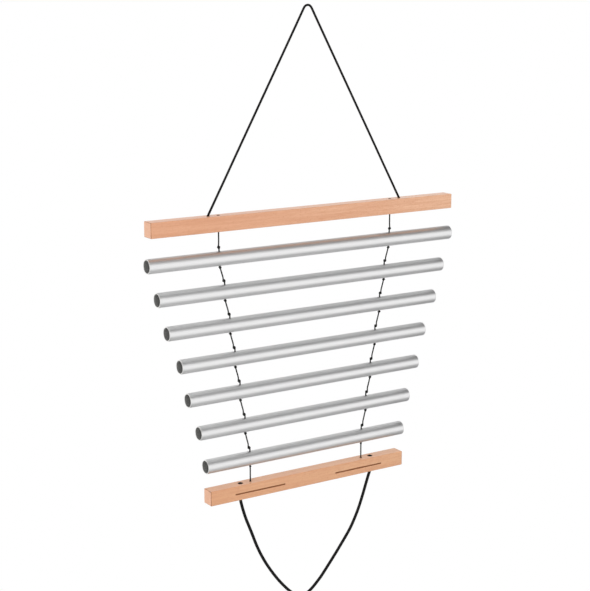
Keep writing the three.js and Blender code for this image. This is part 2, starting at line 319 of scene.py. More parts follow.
def anodised_aluminium(colours):
    """Drawn tube with a satin anodised skin: fine lines along its length soften what it mirrors."""
    material, tree = new_material("satin_anodised_aluminium")
    # Drawing lines are about 0.05 mm wide, too fine to show, so they are drawn ten times as coarse
    lines = node(tree, "ShaderNodeTexNoise",
                 {"Vector": stretched(tree, 60, 0.5), "Scale": 1.0, "Detail": 3.0, "Roughness": 0.6})
    clouds = node(tree, "ShaderNodeTexNoise",
                  {"Vector": stretched(tree, 70, 14), "Scale": 1.0, "Detail": 2.0})
    mixed = node(tree, "ShaderNodeMath", {0: lines.outputs["Fac"], 1: clouds.outputs["Fac"]},
                 operation="ADD")
    rough = node(tree, "ShaderNodeMapRange",
                 {"Value": mixed.outputs[0], "From Min": 0.6, "From Max": 1.4,
                  "To Min": 0.40, "To Max": 0.47})
    bump = node(tree, "ShaderNodeBump",
                {"Height": lines.outputs["Fac"], "Strength": 0.4, "Distance": 0.02 * MM})
    shader = node(tree, "ShaderNodeBsdfPrincipled",
                  {"Base Color": colours.aluminium, "Metallic": 1.0, "Roughness": rough.outputs[0],
                   "Specular Tint": colours.oxide, "Normal": bump.outputs[0]})
    return surfaced(material, shader)


def sawn_aluminium(colours):
    """Bare metal where the tube was sawn to its note and deburred: brighter, with fine saw marks."""
    material, tree = new_material("sawn_aluminium")
    marks = node(tree, "ShaderNodeTexNoise",
                 {"Vector": stretched(tree, 0.6, 0.4), "Scale": 1.0, "Detail": 2.0})
    rough = node(tree, "ShaderNodeMapRange",
                 {"Value": marks.outputs["Fac"], "To Min": 0.25, "To Max": 0.45})
    bump = node(tree, "ShaderNodeBump",
                {"Height": marks.outputs["Fac"], "Strength": 0.15, "Distance": 0.02 * MM})
    shader = node(tree, "ShaderNodeBsdfPrincipled",
                  {"Base Color": colours.sawn_aluminium, "Metallic": 1.0, "Roughness": rough.outputs[0],
                   "Normal": bump.outputs[0]})
    return surfaced(material, shader)


def dull_bore(colours):
    """The inside of the tube as the die left it: grey and dull, so it passes little light on."""
    material, tree = new_material("dull_aluminium_bore")
    film = node(tree, "ShaderNodeTexNoise",
                {"Vector": stretched(tree, 12, 1.5), "Scale": 1.0, "Detail": 3.0})
    rough = node(tree, "ShaderNodeMapRange",
                 {"Value": film.outputs["Fac"], "To Min": 0.5, "To Max": 0.7})
    shader = node(tree, "ShaderNodeBsdfPrincipled",
                  {"Base Color": colours.bore, "Metallic": 0.5, "Roughness": rough.outputs[0]})
    return surfaced(material, shader)


def beech(name, left, right, streak):
    """Steamed beech, planed and oiled: a satin ground with long soft streaks and short dark flecks.

    The ground goes from the left colour to the right one along the bar: the paler right end is painted
    light.
    """
    material, tree = new_material(name)
    # Growth bands are about 3 mm wide on a planed face, and fibres show as lines about 0.5 mm apart
    figure = node(tree, "ShaderNodeTexNoise",
                  {"Vector": stretched(tree, 90, 3.2), "Scale": 1.0, "Detail": 4.0, "Roughness": 0.55})
    fibres = node(tree, "ShaderNodeTexNoise",
                  {"Vector": stretched(tree, 9, 0.45), "Scale": 1.0, "Detail": 2.0})
    # Beech's rays show as dashes 1 to 3 mm long and about 0.3 mm wide
    fleck_noise = node(tree, "ShaderNodeTexNoise",
                       {"Vector": stretched(tree, 3.2, 0.4), "Scale": 1.0, "Detail": 0.0})
    flecks = node(tree, "ShaderNodeMapRange",
                  {"Value": fleck_noise.outputs["Fac"], "From Min": 0.64, "From Max": 0.72})
    lines = node(tree, "ShaderNodeMapRange",
                 {"Value": fibres.outputs["Fac"], "From Min": 0.35, "From Max": 0.65, "To Max": 0.35})
    streaks = node(tree, "ShaderNodeMapRange",
                   {"Value": figure.outputs["Fac"], "From Min": 0.32, "From Max": 0.72, "To Max": 0.6})
    grain = node(tree, "ShaderNodeMath", {0: lines.outputs[0], 1: streaks.outputs[0]}, operation="ADD")
    both = node(tree, "ShaderNodeMath", {0: flecks.outputs[0], 1: 0.5, 2: grain.outputs[0]},
                operation="MULTIPLY_ADD", use_clamp=True)
    coords = node(tree, "ShaderNodeTexCoord")
    along = node(tree, "ShaderNodeSeparateXYZ", {"Vector": coords.outputs["Object"]})
    # Painted light: the ground turns paler towards the bar's right end
    painted_light_share = node(tree, "ShaderNodeMapRange",
                 {"Value": along.outputs["X"], "From Min": -100 * MM, "From Max": 200 * MM})
    ground = node(tree, "ShaderNodeMix",
                  {"Factor": painted_light_share.outputs[0], MIX_A: left, MIX_B: right}, data_type="RGBA")
    colour = node(tree, "ShaderNodeMix",
                  {"Factor": both.outputs[0], MIX_A: ground.outputs[MIX_RESULT], MIX_B: streak},
                  data_type="RGBA")
    rough = node(tree, "ShaderNodeMapRange",
                 {"Value": fibres.outputs["Fac"], "To Min": 0.26, "To Max": 0.38})
    bump = node(tree, "ShaderNodeBump",
                {"Height": fibres.outputs["Fac"], "Strength": 0.2, "Distance": 0.05 * MM})
    shader = node(tree, "ShaderNodeBsdfPrincipled",
                  {"Base Color": colour.outputs[MIX_RESULT], "Roughness": rough.outputs[0], "IOR": 1.5,
                   "Specular IOR Level": 0.8, "Normal": bump.outputs[0]})
    return surfaced(material, shader)


def beech_end_grain(colours):
    """The sawn and sanded ends of a beech bar: paler, with growth rings and open pores."""
    material, tree = new_material("beech_end_grain")
    rings = node(tree, "ShaderNodeTexNoise",
                 {"Vector": stretched(tree, 8, 2.4), "Scale": 1.0, "Detail": 3.0})
    # Pores are under 0.1 mm wide, too fine to show, so they are drawn four times as coarse
    pores = node(tree, "ShaderNodeTexNoise",
                 {"Vector": stretched(tree, 0.5, 0.35), "Scale": 1.0, "Detail": 1.0})
    both = node(tree, "ShaderNodeMath",
                {0: rings.outputs["Fac"], 1: pores.outputs["Fac"]}, operation="MULTIPLY")
    shade = node(tree, "ShaderNodeMapRange",
                 {"Value": both.outputs[0], "From Min": 0.15, "From Max": 0.45, "To Max": 0.5})
    colour = node(tree, "ShaderNodeMix",
                  {"Factor": shade.outputs[0], MIX_A: colours.end_grain, MIX_B: colours.beech_streak},
                  data_type="RGBA")
    bump = node(tree, "ShaderNodeBump",
                {"Height": pores.outputs["Fac"], "Strength": 0.25, "Distance": 0.05 * MM})
    shader = node(tree, "ShaderNodeBsdfPrincipled",
                  {"Base Color": colour.outputs[MIX_RESULT], "Roughness": 0.62, "Specular IOR Level": 0.3,
                   "Normal": bump.outputs[0]})
    return surfaced(material, shader)


def scorched_and_shaded_beech(colours):
    """Beech browned by the tool in the engraved lines: uneven, and dull. On the walls of the drilled holes
    the same brown is painted shade.
    """
    material, tree = new_material("scorched_and_shaded_beech")
    burn = node(tree, "ShaderNodeTexNoise",
                {"Vector": stretched(tree, 4, 0.6), "Scale": 1.0, "Detail": 3.0})
    spared = node(tree, "ShaderNodeMapRange", {"Value": burn.outputs["Fac"], "To Max": 0.4})
    colour = node(tree, "ShaderNodeMix",
                  {"Factor": spared.outputs[0], MIX_A: colours.scorch_and_shade_brown, MIX_B: colours.beech_streak},
                  data_type="RGBA")
    shader = node(tree, "ShaderNodeBsdfPrincipled",
                  {"Base Color": colour.outputs[MIX_RESULT], "Roughness": 0.75, "Specular IOR Level": 0.2})
    return surfaced(material, shader)


def braided_polyester(name, colour, fibre_mm):
    """Filament yarns in a tight braid: dark, with a faint silky sheen where the light grazes them."""
    material, tree = new_material(name)
    # Filaments are about 0.02 mm thick, too fine to show, so bundles of them are drawn
    fibres = node(tree, "ShaderNodeTexNoise",
                  {"Vector": stretched(tree, fibre_mm, fibre_mm), "Scale": 1.0, "Detail": 2.0})
    shade = node(tree, "ShaderNodeMapRange",
                 {"Value": fibres.outputs["Fac"], "From Min": 0.3, "From Max": 0.7,
                  "To Min": 0.6, "To Max": 1.3})
    tint = node(tree, "ShaderNodeVectorMath", {0: colour[:3], "Scale": shade.outputs[0]}, operation="SCALE")
    bump = node(tree, "ShaderNodeBump",
                {"Height": fibres.outputs["Fac"], "Strength": 0.3, "Distance": 0.05 * MM})
    shader = node(tree, "ShaderNodeBsdfPrincipled",
                  {"Base Color": tint.outputs[0], "Roughness": 0.65, "Sheen Weight": 0.02,
                   "Sheen Roughness": 0.4, "Specular IOR Level": 0.1, "Normal": bump.outputs[0]})
    return surfaced(material, shader)


# Mesh helpers


def place(x, z):
    """A point in the chime's middle plane, from millimetres."""
    return Vector((x * MM, 0.0, z * MM))


def new_object(name, mesh, *materials):
    """Links a mesh into the scene as an object with these materials."""
    made = bpy.data.objects.new(name, mesh)
    bpy.context.scene.collection.objects.link(made)
    for material in materials:
        mesh.materials.append(material)
    return made


def smooth_faces(mesh):
    """Smooths a mesh's faces and keeps its corners sharp."""
    mesh.polygons.foreach_set("use_smooth", [True] * len(mesh.polygons))
    mesh.set_sharp_from_angle(angle=CREASE)


def finished(rough, name):
    """Turns a bmesh into a shaded mesh with its faces outwards."""
    bmesh.ops.recalc_face_normals(rough, faces=rough.faces)
    mesh = bpy.data.meshes.new(name)
    rough.to_mesh(mesh)
    rough.free()
    smooth_faces(mesh)
    return mesh


def smooth_line(points, step):
    """Points about a step apart on the smooth curve through the given ones."""
    ends = [2 * points[0] - points[1], *points, 2 * points[-1] - points[-2]]
    fine = [points[0]]
    for before, a, b, after in zip(ends, ends[1:], ends[2:], ends[3:]):
        into, over, out = ((q - p).length ** 0.5 for p, q in ((before, a), (a, b), (b, after)))
        leave = ((a - before) / into - (b - before) / (into + over) + (b - a) / over) * over
        arrive = ((b - a) / over - (after - a) / (over + out) + (after - b) / out) * over
        count = max(1, math.ceil((b - a).length / step))
        for i in range(1, count + 1):
            t = i / count
            fine.append(a * (2 * t**3 - 3 * t**2 + 1) + leave * (t**3 - 2 * t**2 + t)
                        + b * (3 * t**2 - 2 * t**3) + arrive * (t**3 - t**2))
    return fine


def braid_height(turn, along, braid):
    """How high a braid's surface stands, from 0 to 1: yarns of two directions pass over and under."""
    crossings = along / (braid.crossing * MM)
    rising = turn * braid.yarns + crossings
    falling = turn * braid.yarns - crossings
    upper = rising if (math.floor(rising) + math.floor(falling)) % 2 else falling
    return math.sqrt(max(0.0, 1 - (2 * (upper % 1) - 1) ** 2))


def rope_mesh(name, line, diameter, braid):
    """A braided rope along a line of points, closed at both ends."""
    sides = 3 * braid.yarns
    mesh = bmesh.new()
    rings = []
    along = 0.0
    tangent = (line[1] - line[0]).normalized()
    normal = tangent.orthogonal().normalized()
    for i, point in enumerate(line):
        ahead = (line[min(i + 1, len(line) - 1)] - line[max(i - 1, 0)]).normalized()
        normal = tangent.rotation_difference(ahead) @ normal
        tangent = ahead
        side = tangent.cross(normal)
        along += (point - line[i - 1]).length if i else 0.0
        ring = []
        for k in range(sides):
            turn = k / sides
            height = braid_height(turn, along, braid)
            radius = diameter / 2 * (1 - braid.depth * (1 - height))
            angle = 2 * math.pi * turn
            ring.append(mesh.verts.new(point + radius * (math.cos(angle) * normal + math.sin(angle) * side)))
        rings.append(ring)
    for one, two in zip(rings, rings[1:]):
        for k in range(sides):
            mesh.faces.new((one[k], one[(k + 1) % sides], two[(k + 1) % sides], two[k]))
    mesh.faces.new(list(reversed(rings[0])))
    mesh.faces.new(rings[-1])
    return finished(mesh, name)


def knot_line(centre, knot, string, turn=0.0, lean=0.0, taper=ROUND_TAPER):
    """The line of a tied knot from top to bottom: down its core, up round it in wraps, and down again."""
    height = knot.height * MM
    reach = (knot.width * MM - string) / 2
    core = reach * 0.35
    core_end = height * 0.42
    wrapped = height * 0.9
    steps_per_wrap = 12
    line = [Vector((-core, 0, up)) for up in (height / 2, 0.0, -core_end)]
    steps = round(steps_per_wrap * knot.wraps)
    for i in range(steps + 1):
        share = i / steps
        angle = math.pi * (1 + 2 * knot.wraps * share)
        out = reach * (1 - taper + taper * math.sin(math.pi * share))
        line.append(Vector((out * math.cos(angle), out * math.sin(angle), wrapped * (share - 0.5))))
    line += [Vector((core, 0, up)) for up in (core_end, 0.0, -height / 2)]
    pose = Matrix.Rotation(lean, 3, "Y") @ Matrix.Rotation(turn, 3, "Z")
    return [centre + pose @ point for point in line]


def turned(name, profile, sides, axis):
    """A closed profile of (along, radius) pairs turned about an axis through the origin."""
    mesh = bmesh.new()
    across = axis.orthogonal().normalized()
    rings = []
    for along, radius in profile:
        if radius == 0:
            rings.append([mesh.verts.new(axis * along)])
            continue
        spin = [Quaternion(axis, 2 * math.pi * k / sides) @ across for k in range(sides)]
        rings.append([mesh.verts.new(axis * along + radius * ray) for ray in spin])
    pairs = list(zip(rings, rings[1:]))
    if len(rings[0]) > 1:
        pairs.append((rings[-1], rings[0]))
    for one, two in pairs:
        for k in range(sides):
            near = [one[k % len(one)], one[(k + 1) % len(one)]]
            far = [two[(k + 1) % len(two)], two[k % len(two)]]
            mesh.faces.new(list(dict.fromkeys(near + far)))
    return finished(mesh, name)


def hole_cutter(low, high, x, drill, mouth_up):
    """A stepped drill through a bar at x: a hole, with a wider pocket and an eased mouth at one face."""
    past = 1 * MM
    ease = MOUTH_EASE * MM
    span = high.z - low.z
    narrow = drill.hole / 2 * MM
    wide = drill.pocket / 2 * MM
    depth = drill.depth * MM
    profile = [
        (-past, 0), (-past, wide + ease + past), (ease, wide), (depth, wide), (depth, narrow),
        (span - ease, narrow), (span + past, narrow + ease + past), (span + past, 0),
    ]
    mesh = turned("drill", profile, DRILL_SIDES, Vector((0, 0, -1 if mouth_up else 1)))
    mesh.transform(Matrix.Translation((x * MM, 0, high.z if mouth_up else low.z)))
    return mesh


def cut(body, cutters):
    """Cuts the cutters out of a body and shades what is left by its flat faces."""
    joined = bmesh.new()
    for cutter in cutters:
        joined.from_mesh(cutter)
        bpy.data.meshes.remove(cutter)
    tool_mesh = bpy.data.meshes.new("cutter")
    joined.to_mesh(tool_mesh)
    joined.free()
    tool = new_object("cutter", tool_mesh)
    change = body.modifiers.new("cut", "BOOLEAN")
    change.operation = "DIFFERENCE"
    change.solver = "EXACT"
    change.object = tool
    evaluated = body.evaluated_get(bpy.context.evaluated_depsgraph_get())
    done = bpy.data.meshes.new_from_object(evaluated)
    welded = bmesh.new()
    welded.from_mesh(done)
    bmesh.ops.remove_doubles(welded, verts=welded.verts, dist=WELD * MM)
    welded.to_mesh(done)
    welded.free()
    body.modifiers.clear()
    body.data = done
    bpy.data.objects.remove(tool)
    bpy.data.meshes.remove(tool_mesh)
    smooth_faces(done)
    weighted = body.modifiers.new("even shading", "WEIGHTED_NORMAL")
    weighted.keep_sharp = True


def slot_faces(mesh, chooser):
    """Gives each face the material slot that the chooser picks for it."""
    for face in mesh.polygons:
        face.material_index = chooser(face)


def hinge_height(joint):
    """The height of a hinge in the frame."""
    found = next(j for j in frame["joints"] if j["name"] == joint)
    return found["pos_m"][2]


def bend(piece):
    """Bakes a piece's place into its mesh; the piece is not bent."""
    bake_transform(piece)


# Tubes


def string_reach(k):
    """How far from the middle a string crosses tube k, in millimetres."""
    return STRING_REACH - STRING_REACH_STEP * (k - 1)


def make_tube(k, sizes, skin, sawn, bore):
    """Tube k, with eased ends and the holes that its strings pass through."""
    low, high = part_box(f"tube_{k}")
    half = (high.x - low.x) / 2
    outer = (high.z - low.z) / 2
    inner = outer - sizes.tube_wall
    ease = sizes.tube_ease
    edge = sizes.tube_edge
    reach = string_reach(k) * MM
    margin = HOLE_MARGIN * MM
    bends = [math.radians(angle) for angle in (0, 30, 60, 90)]
    round_off = [(half - edge * (1 - math.sin(a)), outer - edge * (1 - math.cos(a))) for a in bends]
    stops = sorted(s * (reach + d) for s in SIDES.values() for d in (-margin, margin))
    outside = [*((-x, r) for x, r in reversed(round_off)), *((x, outer) for x in stops), *round_off]
    inside = [(half - ease, inner), *((x, inner) for x in reversed(stops)), (-half + ease, inner)]
    profile = [*outside, (half, inner + ease), *inside, (-half, inner + ease)]
    mesh = turned("tube", profile, TUBE_SIDES, Vector((1, 0, 0)))
    tube = new_object(f"chime_tube_{k}", mesh, skin, sawn, bore)
    through = outer * 1.2
    hole = STRING_DRILL.hole / 2 * MM
    drill_profile = [(-through, 0), (-through, hole), (through, hole), (through, 0)]
    drills = []
    for side in SIDES.values():
        drill = turned("drill", drill_profile, TUBE_DRILL_SIDES, Vector((0, 0, 1)))
        drill.transform(Matrix.Translation((side * reach, 0, 0)))
        drills.append(drill)
    cut(tube, drills)
    bore_reach = inner + sizes.tube_wall / 4

    def finish_slot(face):
        """The slot of a face: sawn on the rims, dull in the bore, anodised outside."""
        if abs(face.normal.x) > RIM_FACING:
            return RIM
        return BORE if math.hypot(face.center.y, face.center.z) < bore_reach else SKIN

    slot_faces(tube.data, finish_slot)
    tube.data.transform(Matrix.Translation((0, 0, (low.z + high.z) / 2)))
    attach(tube, f"tube_{k}")
    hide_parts(f"tube_{k}")


# Bars


def bar_blank(name, node_name, sizes, *woods):
    """A batten the size of a bar's solid, with its edges rounded."""
    low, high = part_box(node_name)
    fit = Matrix.Translation((low + high) / 2) @ Matrix.Diagonal((*(high - low), 1))
    mesh = bmesh.new()
    bmesh.ops.create_cube(mesh, size=1.0, matrix=fit)
    long_edges = [e for e in mesh.edges if abs(e.verts[0].co.x - e.verts[1].co.x) > MM]
    bmesh.ops.bevel(mesh, geom=long_edges, offset=sizes.bar_edge, segments=BAR_EDGE_STEPS,
                    profile=0.5, affect="EDGES")
    rims = [e for e in mesh.edges if abs(e.verts[0].co.x - e.verts[1].co.x) < 0.01 * MM]
    bmesh.ops.bevel(mesh, geom=rims, offset=sizes.bar_end_edge, segments=BAR_END_STEPS,
                    profile=0.5, affect="EDGES")
    return new_object(name, finished(mesh, name), *woods)


def line_cutter(x_from, x_to, y, z, width, depth):
    """A round-bottomed engraving tool run along a line on the front of a bar."""
    radius = (width**2 / 4 + depth**2) / (2 * depth)
    steps = 6
    angles = [math.pi / 2 * i / steps for i in range(steps + 1)]
    arc = [(-math.cos(angle) * radius, math.sin(angle) * radius) for angle in angles]
    profile = [*((x_from + a, r) for a, r in arc), *((x_to - a, r) for a, r in reversed(arc))]
    mesh = turned("engraver", profile, DRILL_SIDES, Vector((1, 0, 0)))
    mesh.transform(Matrix.Translation((0, y - radius + depth, z)))
    return mesh


def bar_slot(face, low, high, holes):
    """The slot of a bar's face, where holes are pairs of a reach and a diameter in millimetres."""
    if abs(face.center.x) > high.x - END_ZONE * MM:
        if abs(face.normal.x) > END_FACING:
            return END_GRAIN
        # The rounded edge round the end takes the painted edge shade
        if abs(face.normal.x) > EDGE_FACING:
            return PAINTED_EDGE_SHADE
    near = 0.05 * MM
    inside = low.z + near < face.center.z < high.z - near
    bored = any(math.hypot(abs(face.center.x) - reach * MM, face.center.y) < diameter / 2 * MM + near
                for reach, diameter in holes)
    # Walls of the drilled pockets and holes take the scorched slot as painted shade
    return SCORCH_AND_POCKET_SHADE if inside and bored else LONG_GRAIN


def make_top_bar(sizes, *woods):
    """The upper beech bar: string pockets on top, hanging cord pockets below."""
    low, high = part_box("top_bar")
    bar = bar_blank("beech_top_bar", "top_bar", sizes, *woods)
    drills = []
    for side in SIDES.values():
        drills.append(hole_cutter(low, high, side * HANGING_REACH, HANGING_DRILL, mouth_up=False))
        drills.append(hole_cutter(low, high, side * TOP_STRING_REACH, STRING_DRILL, mouth_up=True))
    cut(bar, drills)
    holes = [(TOP_STRING_REACH, STRING_DRILL.pocket), (HANGING_REACH, HANGING_DRILL.pocket)]
    slot_faces(bar.data, lambda face: bar_slot(face, low, high, holes))
    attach(bar, "top_bar")
    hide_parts("top_bar")


def make_bottom_bar(sizes, *woods):
    """The lower beech bar: pull cord pockets on top, string pockets below, two engraved lines in front."""
    low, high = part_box("bottom_bar")
    bar = bar_blank("beech_bottom_bar", "bottom_bar", sizes, *woods)
    line_z = (low.z + high.z) / 2 - LINE_BELOW_MIDDLE * MM
    tools = []
    for side in SIDES.values():
        tools.append(hole_cutter(low, high, side * PULL_REACH, PULL_DRILL, mouth_up=True))
        tools.append(hole_cutter(low, high, side * BOTTOM_STRING_REACH, STRING_DRILL, mouth_up=False))
        x_from, x_to = sorted((side * LINE_FROM * MM, side * LINE_TO * MM))
        tools.append(line_cutter(x_from, x_to, low.y, line_z, sizes.line_width, sizes.line_depth))
    cut(bar, tools)
    holes = [(BOTTOM_STRING_REACH, STRING_DRILL.pocket), (PULL_REACH, PULL_DRILL.pocket)]
    surface = 0.005 * MM
    line_floor = sizes.line_depth * 1.05

    def wood_slot(face):
        """The bar's slot for a face, and the scorched slot in the engraved lines."""
        level = abs(face.center.z - line_z) < sizes.line_width / 2
        between = LINE_FROM - LINE_ROUNDING < abs(face.center.x) / MM < LINE_TO + LINE_ROUNDING
        engraved = level and between and surface < face.center.y - low.y < line_floor
        return SCORCH_AND_POCKET_SHADE if engraved else bar_slot(face, low, high, holes)

    slot_faces(bar.data, wood_slot)
    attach(bar, "bottom_bar")
    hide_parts("bottom_bar")


# Ladder strings


def string_mesh(points, sizes):
    """A thin braided string through the given points."""
    return rope_mesh("string", smooth_line(points, STRING_STEP * MM), sizes.string, STRING_BRAID)


def tube_height(k):
    """The height of tube k's axis, in millimetres."""
    low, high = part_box(f"tube_{k}")
    return (low.z + high.z) / 2 / MM


def knot_place(side, k, rise):
    """The middle of a knot on the string of tube k, a rise in millimetres over the tube's axis."""
    return place(side * (string_reach(k) + STRING_LEAN * rise), tube_height(k) + rise)


def make_string(name, side, k, sizes, yarn):
    """The length of a ladder string from the rung above down through tube k, with its two knots."""
    joint = f"rung_{k}_swing"
    upper = knot_place(side, k, UPPER_KNOT_RISE)
    lower = knot_place(side, k, -LOWER_KNOT_DROP)
    if k == 1:
        start = Vector((upper.x, 0, hinge_height(joint) + TUCK * MM))
    else:
        start = knot_place(side, k - 1, -LOWER_KNOT_DROP)
    turn = math.pi * (side > 0) + KNOT_TURN * math.sin(KNOT_TURN_STEP * k)
    lean = KNOT_LEAN * side if k > 1 else 0.0
    upper_line = knot_line(upper, UPPER_KNOT, sizes.string, turn, lean)
    if k == TUBE_COUNT:
        lower_line = knot_line(lower, LAST_KNOT, sizes.string, turn)
    else:
        lower_line = knot_line(lower, LOWER_KNOT, sizes.string, turn, lean / 2)
    run = [start.lerp(upper, share) for share in (0.0, 0.4, 0.75)]
    points = [*run, *upper_line, upper.lerp(lower, 0.5), *lower_line]
    piece = new_object(f"ladder_string_{name}_{k}", string_mesh(points, sizes), yarn)
    bend(piece)
    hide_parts(f"string_{name}_{k}")


def make_string_ends(name, side, sizes, yarn):
    """The knotted ends of a ladder string: in the top bar's pocket, and through the bottom bar."""
    low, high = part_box("top_bar")
    pocket_floor = high.z - STRING_DRILL.depth * MM
    middle = Vector((side * TOP_STRING_REACH * MM, 0, high.z - TOP_END_SINK * MM))
    points = [*knot_line(middle, END_KNOT, sizes.string, taper=FLAT_TAPER),
              Vector((middle.x, 0, pocket_floor - TOP_END_RUN * MM)),
              Vector((middle.x, 0, low.z + TOP_END_STOP * MM))]
    anchor = new_object(f"string_end_top_{name}", string_mesh(points, sizes), yarn)
    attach(anchor, "top_bar")
    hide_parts(f"string_anchor_{name}")

    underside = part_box("bottom_bar")[0].z
    start = knot_place(side, TUBE_COUNT, -LOWER_KNOT_DROP)
    middle = Vector((start.x, 0, underside + BOTTOM_END_SINK * MM))
    points = [*(start.lerp(middle, share) for share in (0.0, 0.3, 0.6, 0.85)),
              *knot_line(middle, END_KNOT, sizes.string, taper=FLAT_TAPER)]
    tail = new_object(f"string_end_bottom_{name}", string_mesh(points, sizes), yarn)
    bend(tail)
    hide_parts(f"string_{name}_tail")


# Cords


def cord_piece(name, points, diameter, yarn):
    """A braided cord through the given points, as an object and the line that it follows."""
    line = smooth_line(points, CORD_STEP * MM)
    return new_object(name, rope_mesh(name, line, diameter, CORD_BRAID), yarn), line


def make_stoppers(cord, body, mouth, up, reach, drill, width, diameter, yarn):
    """The two knots that keep a cord from pulling out of a bar, pressed flat into their pockets' mouths.

    The mouths open upwards where up is 1 and downwards where it is -1.
    """
    knot = Knot(width=width, height=diameter / MM * STOPPER_HEIGHT, wraps=STOPPER_WRAPS)
    squeezed = diameter * STOPPER_SQUEEZE
    made = []
    for name, side in SIDES.items():
        middle = Vector((side * reach * MM, 0, mouth - up * STOPPER_SINK * MM))
        foot = Vector((middle.x, 0, mouth - up * (drill.depth + STOPPER_STEM) * MM))
        stem = [middle.lerp(foot, 0.5), foot]
        coil = knot_line(middle, knot, squeezed, taper=FLAT_TAPER)
        points = [*coil, *stem] if up > 0 else [*reversed(stem), *coil]
        stopper, _ = cord_piece(f"{cord}_stopper_{name}", points, squeezed, yarn)
        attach(stopper, body)
        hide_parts(f"{cord}_knot_{name}")
        made.append(stopper)
    return made


def make_hanging_cord(sizes, yarn):
    """The black cord that the chime hangs by, with its two stopper knots."""
    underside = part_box("top_bar")[0].z
    stoppers = make_stoppers("hanging", "top_bar", underside, -1, HANGING_REACH, HANGING_DRILL,
                             HANGING_STOPPER, sizes.hanging_cord, yarn)
    left = [place(-x, z) for x, z in HANGING_ROUTE]
    right = [place(x, z) for x, z in reversed(HANGING_ROUTE)]
    inwards = (left[0] - left[1]).normalized() * HANGING_TUCK * MM
    feet = [left[0] + inwards, right[-1] + inwards * Vector((-1, 1, 1))]
    points = [feet[0], *left, place(0, HANGING_BEND_HEIGHT), *right, feet[1]]
    cord, line = cord_piece("hanging_line", points, sizes.hanging_cord, yarn)
    bend(cord)
    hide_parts("hanging_cord")


def make_pull_cord(sizes, yarn):
    """The slack black cord under the bottom bar, with its two stopper knots."""
    low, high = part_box("bottom_bar")
    stoppers = make_stoppers("pull", "bottom_bar", high.z, 1, PULL_REACH, PULL_DRILL,
                             PULL_STOPPER, sizes.pull_cord, yarn)
    route = [place(x, 0) + Vector((0, 0, low.z + up * MM)) for x, up in PULL_ROUTE]
    upwards = Vector((0, 0, TUCK * MM))
    points = [route[0] + upwards, *route, route[-1] + upwards]
    cord, line = cord_piece("pull_line", points, sizes.pull_cord, yarn)
    bend(cord)
    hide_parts("pull_cord")


# Stage


def background_share(tree):
    """1 for rays from the camera, or from it by way of metal or glass, and 0 for the rest."""
    path = node(tree, "ShaderNodeLightPath")
    seen = node(tree, "ShaderNodeMath", {0: path.outputs["Is Camera Ray"], 1: path.outputs["Is Glossy Ray"]},
                operation="MAXIMUM")
    return node(tree, "ShaderNodeMath", {0: seen.outputs[0], 1: path.outputs["Is Transmission Ray"]},
                operation="MAXIMUM").outputs[0]


def make_world(stage):
    """White to the eye and in the metal, and a plain even light on everything else."""
    world = bpy.data.worlds.new("white_studio")
    bpy.context.scene.world = world
    world.use_nodes = True
    tree = world.node_tree
    tree.nodes.clear()
    strength = node(tree, "ShaderNodeMapRange",
                    {"Value": background_share(tree), "To Min": stage.ambient, "To Max": 1.0})
    light = node(tree, "ShaderNodeBackground", {"Color": (1, 1, 1, 1), "Strength": strength.outputs[0]})
    node(tree, "ShaderNodeOutputWorld", {"Surface": light.outputs[0]})


def stage_disc(name, radius, sides, material):
    """A flat round plate for the stage."""
    mesh = bmesh.new()
    bmesh.ops.create_circle(mesh, cap_ends=True, radius=radius, segments=sides)
    disc = new_object(name, finished(mesh, name), material)
    return disc


def make_floor():
    """A pale floor that keeps the chime's shadow, and is white to the eye further out."""
    material, tree = new_material("pale_floor")
    floor = stage_disc("floor", FLOOR_RADIUS, 96, material)
    floor.location.z = cad_box[0].z - FLOOR_DROP
    coords = node(tree, "ShaderNodeTexCoord")
    out = node(tree, "ShaderNodeVectorMath", {0: coords.outputs["Object"]}, operation="LENGTH")
    far = node(tree, "ShaderNodeMapRange",
               {"Value": out.outputs["Value"], "From Min": SHADOW_REACH, "From Max": WHITE_REACH})
    white = node(tree, "ShaderNodeMath", {0: far.outputs[0], 1: background_share(tree)},
                 operation="MULTIPLY")
    pale = node(tree, "ShaderNodeBsdfDiffuse", {"Color": linear(PALE_FLOOR)})
    glow = node(tree, "ShaderNodeEmission", {"Color": (1, 1, 1, 1), "Strength": 1.0})
    both = node(tree, "ShaderNodeMixShader", {0: white.outputs[0], 1: pale.outputs[0], 2: glow.outputs[0]})
    surfaced(material, both)


def make_card(name, radius, middle_y, height, greys, edge, paling):
    """A card that shows only in the metal: a grey strip along X between white sides.

    It turns white between the two distances of edge from its middle line, and goes from the first of its
    greys to the second between the two places of paling along X.
    """
    material, tree = new_material(name)
    card = stage_disc(name, radius, 64, material)
    card.location = (0, middle_y, height)
    coords = node(tree, "ShaderNodeTexCoord")
    parts = node(tree, "ShaderNodeSeparateXYZ", {"Vector": coords.outputs["Object"]})
    out = node(tree, "ShaderNodeMath", {0: parts.outputs["Y"]}, operation="ABSOLUTE")
    across = node(tree, "ShaderNodeMapRange",
                  {"Value": out.outputs[0], "From Min": edge[0], "From Max": edge[1]})
    along = node(tree, "ShaderNodeMapRange",
                 {"Value": parts.outputs["X"], "From Min": paling[0], "From Max": paling[1],
                  "To Min": greys[0], "To Max": greys[1]})
    grey = node(tree, "ShaderNodeMath", {0: across.outputs[0], 1: along.outputs[0]}, operation="MAXIMUM")
    glow = node(tree, "ShaderNodeEmission", {"Color": (1, 1, 1, 1), "Strength": grey.outputs[0]})
    surfaced(material, glow)
    card.visible_camera = False
    card.visible_diffuse = False
    card.visible_shadow = False


